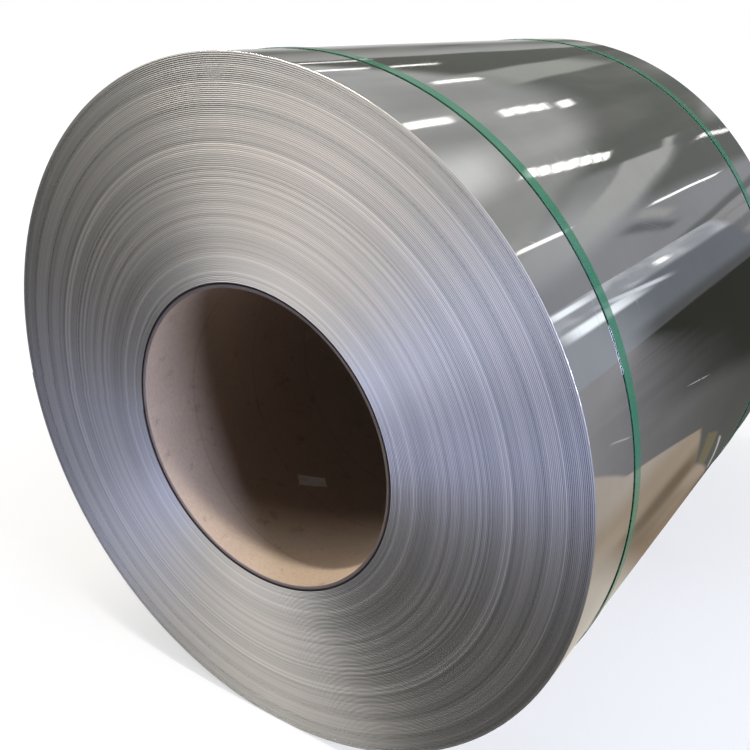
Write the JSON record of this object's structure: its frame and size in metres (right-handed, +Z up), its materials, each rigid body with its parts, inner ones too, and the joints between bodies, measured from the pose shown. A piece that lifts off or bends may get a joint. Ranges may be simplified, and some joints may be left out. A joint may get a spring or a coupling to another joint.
{
  "type": "steel coil",
  "caption": "Coil of bright steel strip wound on a paper board tube and held by plastic straps: raw stock, lifted and unwound by its bore.",
  "frame": {"origin": "on the floor, below the middle of the coil's axis", "axes": "the coil's axis lies along Y, +Y points into the bore from the end that the picture shows, +Z is up"},
  "size_m": [1.386, 1.219, 1.3841],
  "materials": {
    "steel": "bright cold-rolled, almost a mirror on the barrel; slit edges with a satin sheen on the ends",
    "board": "matt brown kraft paper",
    "strap": "glossy green, embossed"
  },
  "bodies": {
    "root": {"coil": "steel", "core_tube": "board", "strap_front": "strap", "strap_back": "strap"}
  },
  "joints": []
}
